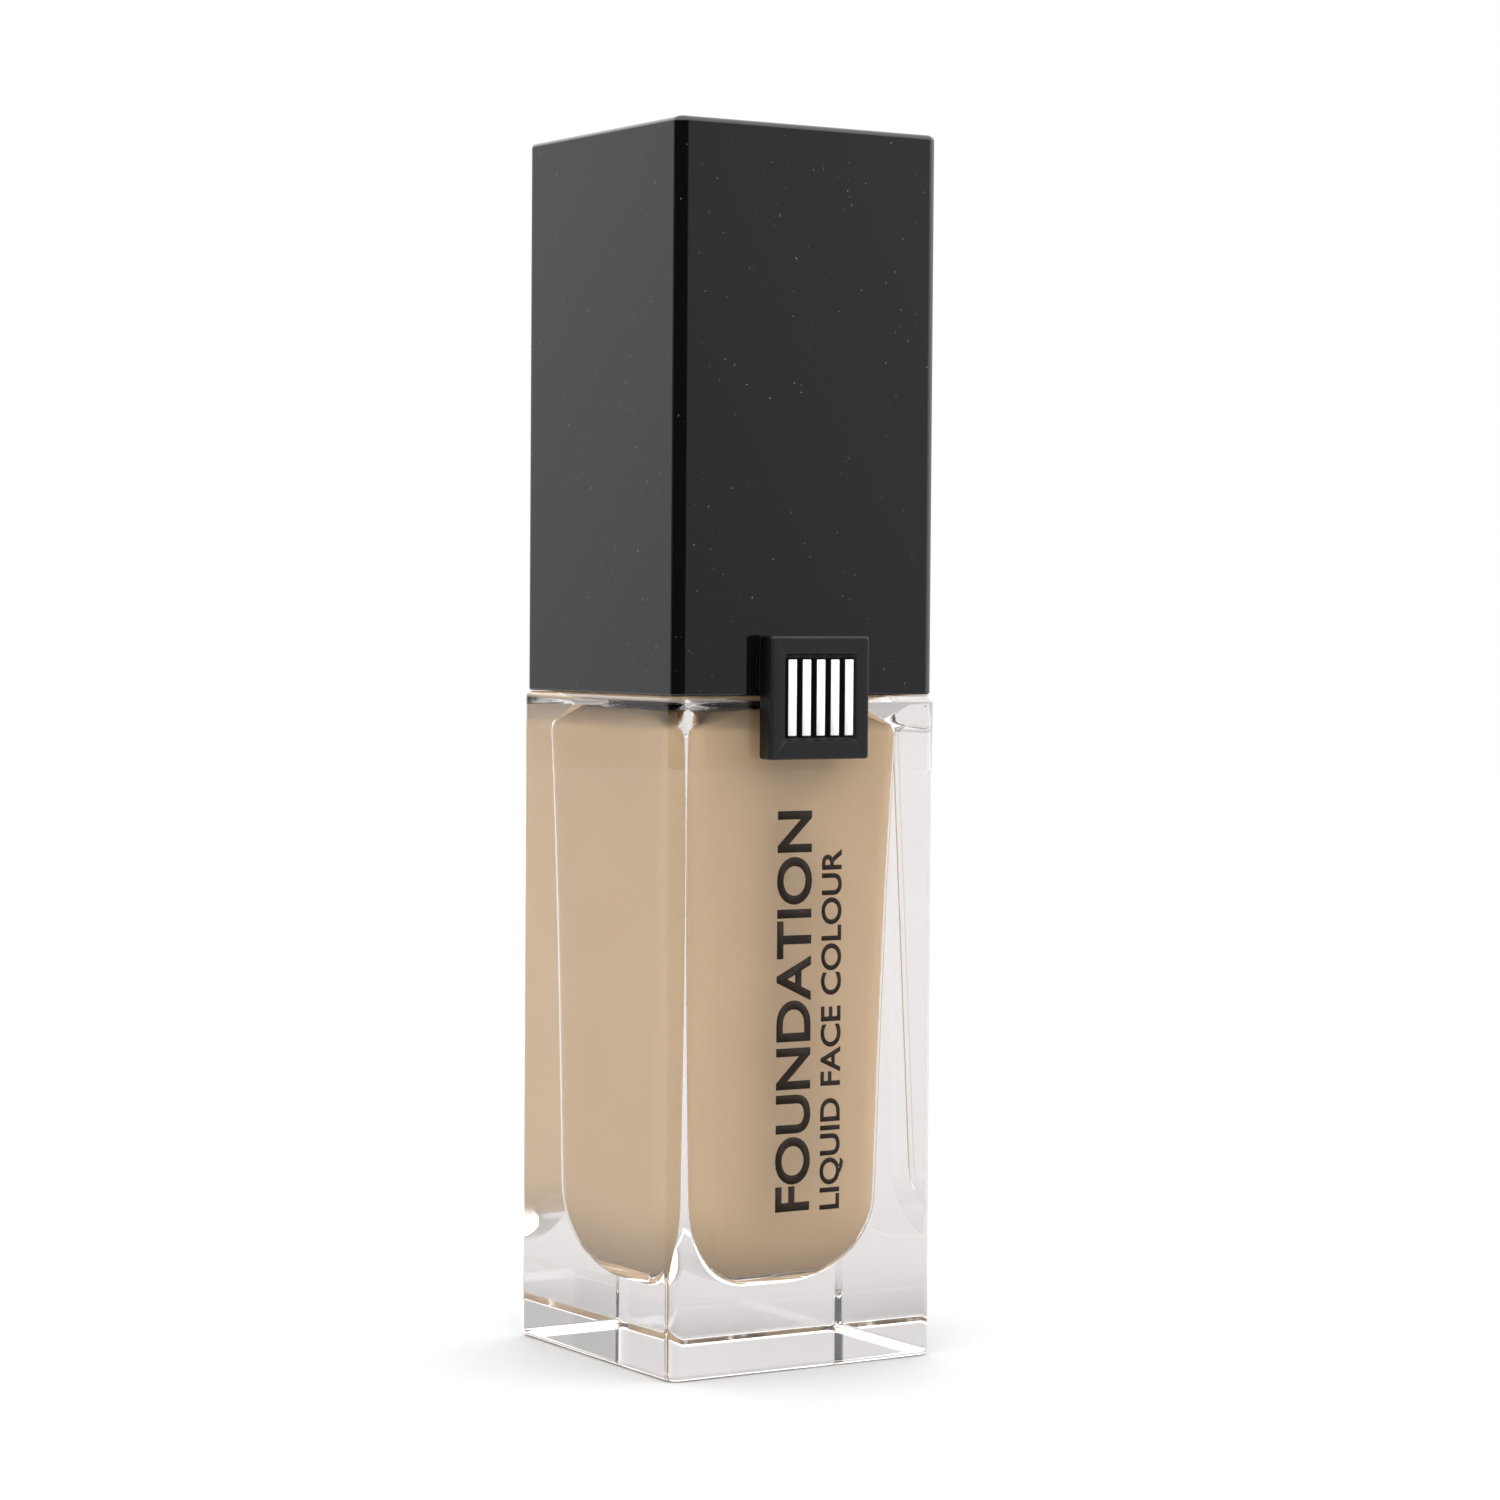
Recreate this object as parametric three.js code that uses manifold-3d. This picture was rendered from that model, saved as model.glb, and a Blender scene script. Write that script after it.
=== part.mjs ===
// A square glass bottle of liquid foundation with a treatment pump under a tall square cap.
// Millimetres, +Z up, origin at the centre of the flat bottom, front face towards -Y.

import * as THREE from 'three';
import { mergeVertices } from 'three/addons/utils/BufferGeometryUtils.js';
import Module from 'manifold-3d';

const wasm = await Module();
wasm.setup();

// ---- driving dimensions ----

const GAP = 0.3;                 // clearance between neighbouring pieces

const BOTTLE_WIDTH = 31;         // square section of the glass
const SHOULDER_Z = 66.8;         // flat shoulder of the glass
const TOTAL_HEIGHT = 123.4;      // top of the cap

const GLASS_CORNER = 1.4;        // vertical edges of the glass
const GLASS_HEEL = 0.6;          // rounding around the flat bottom
const GLASS_SHOULDER = 0.7;      // rounding around the shoulder

const FLOOR_Z = 7.2;             // inside of the glass bottom
const FLOOR_ROUNDING = 9.4;      // radius where the chamber wall meets its floor
const CHAMBER_HALF_LOW = 11;     // half-width of the chamber just above the floor rounding
const CHAMBER_HALF_HIGH = 12.2;  // half-width of the chamber under the shoulder
const CHAMBER_ROUNDNESS_LOW = 0.26;   // corner radius over half-width: 1 is a circle
const CHAMBER_ROUNDNESS_HIGH = 0.13;
const WALL_TOP_Z = 62.7;         // where the chamber's wall starts to bend inwards
const SHOULDER_ROUNDING = 1.6;   // radius of that bend
const SHOULDER_SLOPE = THREE.MathUtils.degToRad(50);
const SLOPE_END_HALF = 10.3;     // half-width where the slope meets the foot of the neck
const FILL_TOP_Z = 66.3;         // level of the make-up, just inside the neck

const NECK_RADIUS = 9.2;
const NECK_BORE = 7;
const NECK_BEAD = 0.8;           // how far the snap bead stands out
const NECK_TOP_Z = 75.8;

const CAP_INSET = 0.3;           // the cap is this much narrower than the glass on each side
const CAP_CORNER = 1.15;
const CAP_TOP_EDGE = 0.6;
const CAP_WALL = 1.4;
const CAP_TOP_WALL = 1.6;

const BADGE_WIDTH = 11.5;
const BADGE_HEIGHT = 12.2;
const BADGE_PROUD = 2.2;         // from the face of the glass to the face of the badge
const BADGE_EDGE = 0.35;
const RELIEF_WIDTH = 8.3;
const RELIEF_HEIGHT = 8.6;
const RELIEF_DEPTH = 0.6;
const RIB_COUNT = 5;
const PIN_RADIUS = 0.6;
const PIN_SPACING = 5;

const STROKE = 4;                // travel of the pump
const STEM_RADIUS = 2.3;
const STEM_BORE = 1.5;
const CHAMBER_RADIUS = 4;        // bore of the pump chamber
const HOUSING_RADIUS = 5;
const COLLAR_RADIUS = 12;
const HEAD_RADIUS = 8;           // push head
const HEAD_WALL = 0.8;
const NOZZLE_REACH = 9.8;
const NOZZLE_RADIUS = 2;
const NOZZLE_BORE = 0.8;
const BALL_RADIUS = 1.2;
const WIRE_RADIUS = 0.35;
const COIL_RADIUS = 2.9;
const COIL_TURNS = 5.5;
const DIP_RADIUS = 1.5;
const DIP_BORE = 1;
const DIP_TIP_Z = 9.5;

const FINE = 40;                 // sides of the larger round pieces
const COARSE = 24;               // sides of the small round pieces

// ---- sizes worked out from them ----

const HALF = BOTTLE_WIDTH / 2;
const CAP_HALF = HALF - CAP_INSET;
const CAP_INSIDE = CAP_HALF - CAP_WALL;
const CAP_BOTTOM_Z = SHOULDER_Z + GAP;
const CAP_CEILING_Z = TOTAL_HEIGHT - CAP_TOP_WALL;
const SEAM_Z = (SHOULDER_Z + CAP_BOTTOM_Z) / 2;

const GASKET_Z = NECK_TOP_Z + 0.2;
const FLANGE_Z = GASKET_Z + 1.2;         // underside of the pump housing's flange
const FLANGE_TOP_Z = FLANGE_Z + 1.2;
const FLANGE_RADIUS = NECK_RADIUS - 0.1;
const GUIDE_TOP_Z = FLANGE_TOP_Z + 2.8;  // top of the turret around the stem
const RING_TOP_Z = FLANGE_TOP_Z + 2;     // top of the closure ring
const HEAD_SKIRT_Z = RING_TOP_Z + STROKE + 0.8;
const COLLAR_TOP_Z = HEAD_SKIRT_Z + 0.8;
const HEAD_TOP_Z = HEAD_SKIRT_Z + 12.8;
const NOZZLE_Z = COLLAR_TOP_Z + STROKE + NOZZLE_RADIUS + 0.8;
const STEM_TOP_Z = NOZZLE_Z - 1.3;

const STEM_FOOT_Z = 75.3;
const PISTON_Z = STEM_FOOT_Z - 4.1;      // lower lip of the piston
const PIN_FOOT_Z = PISTON_Z - 1.9;       // underside of the valve pin, on the spring
const SPRING_Z = PIN_FOOT_Z - 10.1;      // lower end of the spring
const RETAINER_Z = SPRING_Z - 1.1;
const PUMP_FLOOR_Z = RETAINER_Z - GAP;   // ledge at the bottom of the pump chamber
const BALL_Z = PUMP_FLOOR_Z - 2;         // centre of the inlet ball
const SPIGOT_Z = PUMP_FLOOR_Z - 9.3;     // lower end of the tail spigot
const SPIGOT_RADIUS = 2.3;

// ---- solids ----

// Leaves only merged positions, without triangles that have collapsed.
function welded(geometry) {
  const bare = geometry.clone();
  bare.deleteAttribute('normal');
  bare.deleteAttribute('uv');
  const merged = mergeVertices(bare, 1e-4);
  const index = merged.index.array;
  const kept = [];
  for (let i = 0; i < index.length; i += 3) {
    const [a, b, c] = index.slice(i, i + 3);
    if (a !== b && b !== c && c !== a) kept.push(a, b, c);
  }
  merged.setIndex(kept);
  return merged;
}

function solid(geometry) {
  const mesh = welded(geometry);
  const vertProperties = new Float32Array(mesh.attributes.position.array);
  const triVerts = new Uint32Array(mesh.index.array);
  return new wasm.Manifold(new wasm.Mesh({ numProp: 3, vertProperties, triVerts }));
}

function geometryOf(manifold) {
  const mesh = manifold.getMesh();
  const geometry = new THREE.BufferGeometry();
  geometry.setAttribute('position', new THREE.BufferAttribute(mesh.vertProperties, 3));
  geometry.setIndex(new THREE.BufferAttribute(mesh.triVerts, 1));
  geometry.computeVertexNormals();
  return geometry;
}

// Turns a profile of [radius, z] points about Z. It runs counter-clockwise and starts and ends on the
// axis, or is closed here on its first point.
function turned(profile, sides = COARSE) {
  const points = profile.map(([radius, z]) => new THREE.Vector2(radius, z));
  const onAxis = points[0].x === 0 && points[points.length - 1].x === 0;
  if (!onAxis) points.push(points[0].clone());
  return new THREE.LatheGeometry(points, sides).rotateX(Math.PI / 2);
}

// A straight-sided ring between two radii and two heights.
function ring(inner, outer, low, high, sides = COARSE) {
  return turned([[inner, low], [outer, low], [outer, high], [inner, high]], sides);
}

function box(width, depth, height, x, y, z) {
  return new THREE.BoxGeometry(width, depth, height).translate(x, y, z);
}

// A cylinder lying along Y between two distances in front of the axis.
function forwardRod(radius, near, far, z) {
  const length = far - near;
  return new THREE.CylinderGeometry(radius, radius, length, COARSE).translate(0, -(near + far) / 2, z);
}

// The outline of a square with round corners, counter-clockwise from the front right corner.
function roundedSquare(half, corner, z, steps) {
  const points = [];
  const centre = half - corner;
  for (let side = 0; side < 4; side++) {
    const start = (side - 1) * Math.PI / 2;
    const x = centre * (side < 2 ? 1 : -1);
    const y = centre * (side === 1 || side === 2 ? 1 : -1);
    for (let i = 0; i <= steps; i++) {
      const angle = start + (i / steps) * Math.PI / 2;
      points.push(new THREE.Vector3(x + corner * Math.cos(angle), y + corner * Math.sin(angle), z));
    }
  }
  return points;
}

// Skins a stack of outlines with the same number of points, lowest first, and closes both ends.
function lofted(outlines) {
  const count = outlines[0].length;
  const total = (outline) => outline.reduce((sum, p) => sum.add(p), new THREE.Vector3());
  const middle = (outline) => total(outline).divideScalar(count);
  const vertices = [...outlines.flat(), middle(outlines[0]), middle(outlines[outlines.length - 1])];
  const bottom = vertices.length - 2;
  const top = vertices.length - 1;
  const index = [];
  for (let level = 0; level + 1 < outlines.length; level++) {
    for (let i = 0; i < count; i++) {
      const next = (i + 1) % count;
      const low = level * count;
      const high = low + count;
      index.push(low + i, low + next, high + next, low + i, high + next, high + i);
    }
  }
  for (let i = 0; i < count; i++) {
    const next = (i + 1) % count;
    const last = (outlines.length - 1) * count;
    index.push(bottom, next, i, top, last + i, last + next);
  }
  const geometry = new THREE.BufferGeometry().setFromPoints(vertices);
  geometry.setIndex(index);
  return geometry;
}

// A square prism with round vertical corners and quarter-round edges at its two ends.
function roundedBlock({ half, corner, low, high, lowEdge, highEdge, cornerSteps, edgeSteps }) {
  const outlines = [];
  const level = (edge, angle, z) => {
    const inset = edge * (1 - Math.cos(angle));
    outlines.push(roundedSquare(half - inset, Math.max(corner - inset, 0.05), z, cornerSteps));
  };
  for (let i = edgeSteps; i >= 0; i--) {
    const angle = (i / edgeSteps) * Math.PI / 2;
    level(lowEdge, angle, low + lowEdge * (1 - Math.sin(angle)));
  }
  for (let i = 0; i <= edgeSteps; i++) {
    const angle = (i / edgeSteps) * Math.PI / 2;
    level(highEdge, angle, high - highEdge * (1 - Math.sin(angle)));
  }
  return lofted(outlines);
}

// ---- the glass and what it holds ----

// The outline of the chamber, drawn in by `inset` from the glass wall.
function chamberOutline(half, roundness, z, inset) {
  const corner = half * roundness - inset;
  return roundedSquare(half - inset, corner, z, 7);
}

// The outlines of the chamber from its floor to the start of the neck. The section is rounder low
// down and squarer higher up. The wall bends into a steep slope that closes on the neck's bore.
function chamberOutlines(inset) {
  const outlines = [];
  const wallZ = FLOOR_Z + FLOOR_ROUNDING;
  const floorSteps = 5;
  for (let i = 0; i < floorSteps; i++) {
    const angle = (i / floorSteps) * Math.PI / 2;
    const half = CHAMBER_HALF_LOW - FLOOR_ROUNDING * (1 - Math.sin(angle));
    const z = wallZ - (FLOOR_ROUNDING - inset) * Math.cos(angle);
    outlines.push(chamberOutline(half, CHAMBER_ROUNDNESS_LOW, z, inset));
  }
  const wallSteps = 5;
  for (let i = 0; i <= wallSteps; i++) {
    const t = i / wallSteps;
    const half = THREE.MathUtils.lerp(CHAMBER_HALF_LOW, CHAMBER_HALF_HIGH, t);
    const roundness = THREE.MathUtils.lerp(CHAMBER_ROUNDNESS_LOW, CHAMBER_ROUNDNESS_HIGH, t ** 3);
    outlines.push(chamberOutline(half, roundness, THREE.MathUtils.lerp(wallZ, WALL_TOP_Z, t), inset));
  }
  const corner = CHAMBER_HALF_HIGH * CHAMBER_ROUNDNESS_HIGH;
  const radius = SHOULDER_ROUNDING - inset;
  let half = CHAMBER_HALF_HIGH;
  let z = WALL_TOP_Z;
  const bendSteps = 2;
  for (let i = 1; i <= bendSteps; i++) {
    const angle = (i / bendSteps) * (Math.PI / 2 - SHOULDER_SLOPE);
    const closing = SHOULDER_ROUNDING - radius * Math.cos(angle);
    half = CHAMBER_HALF_HIGH - closing;
    z = WALL_TOP_Z + radius * Math.sin(angle);
    outlines.push(roundedSquare(half, corner - closing, z, 7));
  }
  const slopeEndZ = z + (half - SLOPE_END_HALF) * Math.tan(SHOULDER_SLOPE);
  outlines.push(roundedSquare(SLOPE_END_HALF, SLOPE_END_HALF / 2, slopeEndZ, 7));
  outlines.push(chamberOutline(NECK_BORE, 0.99, slopeEndZ + 0.2, inset));
  return outlines;
}

function glassBottle() {
  const body = solid(roundedBlock({
    half: HALF,
    corner: GLASS_CORNER,
    low: 0,
    high: SHOULDER_Z,
    lowEdge: GLASS_HEEL,
    highEdge: GLASS_SHOULDER,
    cornerSteps: 3,
    edgeSteps: 3,
  }));
  const neck = solid(turned([
    [0, SHOULDER_Z - 2],
    [NECK_RADIUS + 1, SHOULDER_Z - 2],
    [NECK_RADIUS + 1, SHOULDER_Z],
    [NECK_RADIUS, SHOULDER_Z + 1],
    [NECK_RADIUS, NECK_TOP_Z - 3],
    [NECK_RADIUS + NECK_BEAD, NECK_TOP_Z - 2.4],
    [NECK_RADIUS + NECK_BEAD, NECK_TOP_Z - 1.6],
    [NECK_RADIUS, NECK_TOP_Z - 0.6],
    [NECK_RADIUS - 0.4, NECK_TOP_Z],
    [0, NECK_TOP_Z],
  ], FINE));
  const outlines = chamberOutlines(0);
  outlines.push(chamberOutline(NECK_BORE, 0.99, NECK_TOP_Z + 1, 0));
  return body.add(neck).subtract(solid(lofted(outlines)));
}

// The make-up stands level just inside the neck, with room around the pump and its dip tube.
function foundationFill() {
  const outlines = chamberOutlines(GAP);
  outlines.push(chamberOutline(NECK_BORE, 0.99, FILL_TOP_Z, GAP));
  const pumpRoom = turned([
    [0, DIP_TIP_Z - GAP],
    [DIP_RADIUS + GAP, DIP_TIP_Z - GAP],
    [DIP_RADIUS + GAP, SPIGOT_Z - GAP],
    [SPIGOT_RADIUS + GAP, SPIGOT_Z - GAP],
    [SPIGOT_RADIUS + GAP, PUMP_FLOOR_Z - 4.9],
    [HOUSING_RADIUS + GAP, PUMP_FLOOR_Z - 1.9],
    [HOUSING_RADIUS + GAP, SHOULDER_Z],
    [0, SHOULDER_Z],
  ]);
  return solid(lofted(outlines)).subtract(solid(pumpRoom));
}

// ---- the fixed parts of the pump ----

function neckGasket() {
  return solid(ring(NECK_BORE, NECK_RADIUS - 0.2, GASKET_Z, GASKET_Z + 1, FINE));
}

function pumpHousing() {
  return solid(turned([
    [DIP_RADIUS + 0.25, SPIGOT_Z],
    [SPIGOT_RADIUS, SPIGOT_Z],
    [SPIGOT_RADIUS, PUMP_FLOOR_Z - 4.6],
    [HOUSING_RADIUS, PUMP_FLOOR_Z - 1.6],
    [HOUSING_RADIUS, FLANGE_Z],
    [FLANGE_RADIUS, FLANGE_Z],
    [FLANGE_RADIUS, FLANGE_TOP_Z],
    [CHAMBER_RADIUS, FLANGE_TOP_Z],
    [CHAMBER_RADIUS, PUMP_FLOOR_Z],
    [BALL_RADIUS + GAP, PUMP_FLOOR_Z],
    [BALL_RADIUS + GAP, BALL_Z - 0.2],
    [0.7, BALL_Z - 1.2],
    [0.7, BALL_Z - 1.8],
    [DIP_RADIUS + 0.25, BALL_Z - 2],
  ]));
}

// The guide's skirt plugs the chamber and its turret stands up around the stem.
function stemGuide() {
  const bore = STEM_RADIUS + GAP;
  return solid(turned([
    [bore, STEM_FOOT_Z + 0.6],
    [CHAMBER_RADIUS - GAP, STEM_FOOT_Z + 0.6],
    [CHAMBER_RADIUS - GAP, FLANGE_TOP_Z + 0.2],
    [HOUSING_RADIUS + 1, FLANGE_TOP_Z + 0.2],
    [HOUSING_RADIUS + 1, FLANGE_TOP_Z + 1],
    [bore + 0.9, FLANGE_TOP_Z + 1],
    [bore + 0.9, GUIDE_TOP_Z],
    [bore, GUIDE_TOP_Z],
  ]));
}

// The ring hooks under the neck's bead and clamps the guide, the housing and the gasket to the lip.
function closureRing() {
  const inner = NECK_RADIUS + NECK_BEAD + GAP;
  const outer = inner + 0.6;
  const hook = NECK_RADIUS + GAP;
  const guideBore = STEM_RADIUS + GAP + 1.2;
  return solid(turned([
    [hook, SHOULDER_Z + 2.7],
    [outer, SHOULDER_Z + 2.7],
    [outer, RING_TOP_Z],
    [guideBore, RING_TOP_Z],
    [guideBore, RING_TOP_Z - 0.8],
    [inner, RING_TOP_Z - 0.8],
    [inner, NECK_TOP_Z - 3.2],
    [hook, NECK_TOP_Z - 3.6],
  ], FINE));
}

function pumpCollar() {
  const inner = COLLAR_RADIUS - 0.8;
  const edge = 0.4;
  return solid(turned([
    [inner, SHOULDER_Z + GAP],
    [COLLAR_RADIUS, SHOULDER_Z + GAP],
    [COLLAR_RADIUS, COLLAR_TOP_Z - edge],
    [COLLAR_RADIUS - edge, COLLAR_TOP_Z],
    [HEAD_RADIUS + 0.4, COLLAR_TOP_Z],
    [HEAD_RADIUS + 0.4, COLLAR_TOP_Z - 1],
    [inner, COLLAR_TOP_Z - 1],
  ], FINE));
}

// A washer whose four slots let the make-up past the lifted ball.
function ballRetainer() {
  const washer = solid(ring(0.9, CHAMBER_RADIUS - GAP, RETAINER_Z, RETAINER_Z + 0.8));
  const slotAlongX = solid(box(4, 0.7, 2, 0, 0, RETAINER_Z));
  const slotAlongY = solid(box(0.7, 4, 2, 0, 0, RETAINER_Z));
  return washer.subtract(slotAlongX).subtract(slotAlongY);
}

// The lower end is cut on a slant, so that it can't seal itself against the floor.
function dipTube() {
  const tube = solid(ring(DIP_BORE, DIP_RADIUS, DIP_TIP_Z, BALL_Z - 2.3, 16));
  const slant = box(8, 8, 4, 0, 0, -2).rotateX(Math.PI / 5).translate(0, 0, DIP_TIP_Z + 1.2);
  return tube.subtract(solid(slant));
}

// ---- the moving parts of the pump ----

class Coil extends THREE.Curve {
  getPoint(t, target = new THREE.Vector3()) {
    const angle = t * COIL_TURNS * 2 * Math.PI;
    const low = SPRING_Z + WIRE_RADIUS;
    const high = PIN_FOOT_Z - 0.2 - WIRE_RADIUS;
    const z = low + (high - low) * t;
    return target.set(COIL_RADIUS * Math.cos(angle), COIL_RADIUS * Math.sin(angle), z);
  }
}

function returnSpring() {
  const section = new THREE.Shape();
  const sides = 6;
  for (let i = 0; i < sides; i++) {
    const angle = (i / sides) * 2 * Math.PI;
    const move = i === 0 ? 'moveTo' : 'lineTo';
    section[move](WIRE_RADIUS * Math.cos(angle), WIRE_RADIUS * Math.sin(angle));
  }
  const steps = Math.round(COIL_TURNS * 14);
  return solid(new THREE.ExtrudeGeometry(section, { steps, extrudePath: new Coil() }));
}

function valvePin() {
  const shaft = STEM_BORE - GAP;
  return solid(turned([
    [0, PIN_FOOT_Z],
    [3.3, PIN_FOOT_Z],
    [3.3, PIN_FOOT_Z + 0.8],
    [2.4, PIN_FOOT_Z + 1.7],
    [shaft, PIN_FOOT_Z + 2.1],
    [shaft, STEM_FOOT_Z + 4.7],
    [0, STEM_FOOT_Z + 4.7],
  ]));
}

// The piston wipes the chamber with a lip at each end. It rests on the pin's cone with room to lag.
function piston() {
  const lip = CHAMBER_RADIUS - 0.15;
  const waist = lip - 0.45;
  const bore = STEM_BORE + 0.25;
  const top = STEM_FOOT_Z - 0.4;
  return solid(turned([
    [bore, PISTON_Z + 0.5],
    [waist, PISTON_Z + 0.5],
    [lip - 0.15, PISTON_Z],
    [lip, PISTON_Z],
    [lip, PISTON_Z + 0.8],
    [waist, PISTON_Z + 1.1],
    [waist, top - 0.9],
    [lip, top - 0.6],
    [lip, top],
    [lip - 0.15, top],
    [waist, top - 0.4],
    [bore, top - 0.4],
  ]));
}

function stem() {
  return solid(ring(STEM_BORE, STEM_RADIUS, STEM_FOOT_Z, STEM_TOP_Z));
}

function inletBall() {
  return solid(new THREE.SphereGeometry(BALL_RADIUS, 16, 10).rotateX(Math.PI / 2).translate(0, 0, BALL_Z));
}

// A disc under the push head's top, the stem's socket below it, and a duct forward to the nozzle.
function actuatorCore() {
  const socket = STEM_RADIUS + GAP;
  const bossRadius = NOZZLE_RADIUS + 0.9;
  const bossEnd = HEAD_RADIUS - HEAD_WALL - GAP;
  const body = solid(turned([
    [0, HEAD_SKIRT_Z + 0.4],
    [socket + 0.8, HEAD_SKIRT_Z + 0.4],
    [socket + 0.8, HEAD_TOP_Z - 2.8],
    [bossEnd, HEAD_TOP_Z - 2.8],
    [bossEnd, HEAD_TOP_Z - 1.2],
    [0, HEAD_TOP_Z - 1.2],
  ]));
  const stemRoom = turned([
    [0, HEAD_SKIRT_Z],
    [socket, HEAD_SKIRT_Z],
    [socket, STEM_TOP_Z + 0.2],
    [STEM_BORE, STEM_TOP_Z + 0.2],
    [STEM_BORE, NOZZLE_Z + 1.2],
    [0, NOZZLE_Z + 1.2],
  ]);
  return body
    .add(solid(forwardRod(bossRadius, 0, bossEnd - 0.4, NOZZLE_Z)))
    .subtract(solid(stemRoom))
    .subtract(solid(forwardRod(NOZZLE_BORE, 0, bossEnd, NOZZLE_Z)))
    .subtract(solid(forwardRod(NOZZLE_RADIUS + GAP, bossEnd - 1.9, bossEnd + 1, NOZZLE_Z)));
}

function actuatorCover() {
  const inner = HEAD_RADIUS - HEAD_WALL;
  const edge = 0.6;
  const shell = solid(turned([
    [inner, HEAD_SKIRT_Z],
    [HEAD_RADIUS, HEAD_SKIRT_Z],
    [HEAD_RADIUS, HEAD_TOP_Z - edge],
    [HEAD_RADIUS - 0.3 * edge, HEAD_TOP_Z - 0.3 * edge],
    [HEAD_RADIUS - edge, HEAD_TOP_Z],
    [0, HEAD_TOP_Z],
    [0, HEAD_TOP_Z - 1],
    [inner, HEAD_TOP_Z - 1],
  ], FINE));
  return shell.subtract(solid(forwardRod(NOZZLE_RADIUS + GAP, inner - 2, HEAD_RADIUS + 2, NOZZLE_Z)));
}

// A tapered spout with a flared mouth, turned about Z and then laid forward.
function nozzleInsert() {
  const tail = HEAD_RADIUS - HEAD_WALL - 2;
  const profile = turned([
    [NOZZLE_BORE, tail],
    [NOZZLE_RADIUS, tail],
    [NOZZLE_RADIUS, HEAD_RADIUS + 0.6],
    [NOZZLE_RADIUS - 0.3, NOZZLE_REACH - 0.3],
    [NOZZLE_RADIUS - 0.6, NOZZLE_REACH],
    [NOZZLE_BORE + 0.3, NOZZLE_REACH],
    [NOZZLE_BORE, NOZZLE_REACH - 0.6],
  ], 20);
  return solid(profile.rotateX(Math.PI / 2).translate(0, 0, NOZZLE_Z));
}

// ---- the cap ----

function badgePinHeights() {
  return [SEAM_Z + BADGE_HEIGHT / 2 - 2];
}

function badgePins(radius, near, far) {
  const pins = [];
  for (const x of [-PIN_SPACING / 2, PIN_SPACING / 2]) {
    for (const z of badgePinHeights()) {
      pins.push(solid(forwardRod(radius, near, far, z).translate(x, 0, 0)));
    }
  }
  return pins;
}

function capShell() {
  const outside = roundedBlock({
    half: CAP_HALF,
    corner: CAP_CORNER,
    low: CAP_BOTTOM_Z,
    high: TOTAL_HEIGHT,
    lowEdge: 0.2,
    highEdge: CAP_TOP_EDGE,
    cornerSteps: 4,
    edgeSteps: 3,
  });
  const inside = [CAP_BOTTOM_Z - 1, CAP_CEILING_Z].map((z) => roundedSquare(CAP_INSIDE, 0.6, z, 3));
  let shell = solid(outside).subtract(solid(lofted(inside)));
  for (const pinHole of badgePins(PIN_RADIUS + GAP, CAP_HALF - 0.9, CAP_HALF + 1)) {
    shell = shell.subtract(pinHole);
  }
  return shell;
}

// A round sleeve that slides over the collar, with a lip at each end that touches the cap's four walls.
function capLiner() {
  const low = CAP_BOTTOM_Z + 0.8;
  const high = COLLAR_TOP_Z + 2;
  const bore = COLLAR_RADIUS + GAP;
  const outer = bore + 0.8;
  const lip = CAP_INSIDE - GAP;
  return solid(turned([
    [bore, low],
    [lip, low],
    [lip, low + 1],
    [outer, low + 1.4],
    [outer, high - 1.4],
    [lip, high - 1],
    [lip, high],
    [bore, high],
  ], FINE));
}

// The badge straddles the seam. Its upper half lies on the cap, and its lower half is thinner so that
// it clears the glass. The relief is a row of equal upright ribs in a sunken field.
function badgePlate() {
  const backY = CAP_HALF + 0.2;
  const frontY = HALF + BADGE_PROUD;
  const outline = new THREE.Shape();
  const w = BADGE_WIDTH / 2 - BADGE_EDGE;
  const h = BADGE_HEIGHT / 2 - BADGE_EDGE;
  outline.moveTo(-w, -h).lineTo(w, -h).lineTo(w, h).lineTo(-w, h);
  const depth = frontY - backY - 2 * BADGE_EDGE;
  const bevel = { bevelThickness: BADGE_EDGE, bevelSize: BADGE_EDGE, bevelSegments: 2 };
  const slab = new THREE.ExtrudeGeometry(outline, { depth, ...bevel });
  slab.rotateX(Math.PI / 2).translate(0, -backY - BADGE_EDGE, SEAM_Z);

  const glassRoom = box(BADGE_WIDTH + 2, 2, BADGE_HEIGHT, 0, -HALF - GAP + 1, SEAM_Z - BADGE_HEIGHT / 2);
  const floorY = frontY - RELIEF_DEPTH;
  const field = box(RELIEF_WIDTH, 2, RELIEF_HEIGHT, 0, -floorY - 1, SEAM_Z);
  let badge = solid(slab).subtract(solid(glassRoom)).subtract(solid(field));

  const pitch = RELIEF_WIDTH / RIB_COUNT;
  for (let i = 0; i < RIB_COUNT; i++) {
    const x = (i - (RIB_COUNT - 1) / 2) * pitch;
    badge = badge.add(solid(badgeRib(pitch, floorY, frontY).translate(x, 0, SEAM_Z)));
  }
  for (const pin of badgePins(PIN_RADIUS, CAP_HALF - 0.6, backY + 0.5)) badge = badge.add(pin);
  return badge;
}

// A rib with sloping flanks: a trapezoid in plan, standing upright in the field.
function badgeRib(pitch, floorY, frontY) {
  const root = pitch * 0.4;
  const crest = pitch * 0.3;
  const plan = new THREE.Shape();
  plan.moveTo(-root, -floorY + 0.1).lineTo(-crest, -frontY + 0.05);
  plan.lineTo(crest, -frontY + 0.05).lineTo(root, -floorY + 0.1);
  const height = RELIEF_HEIGHT - 0.5;
  const prism = new THREE.ExtrudeGeometry(plan, { depth: height, bevelEnabled: false });
  return prism.translate(0, 0, -height / 2);
}

// ---- the assembly ----

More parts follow.
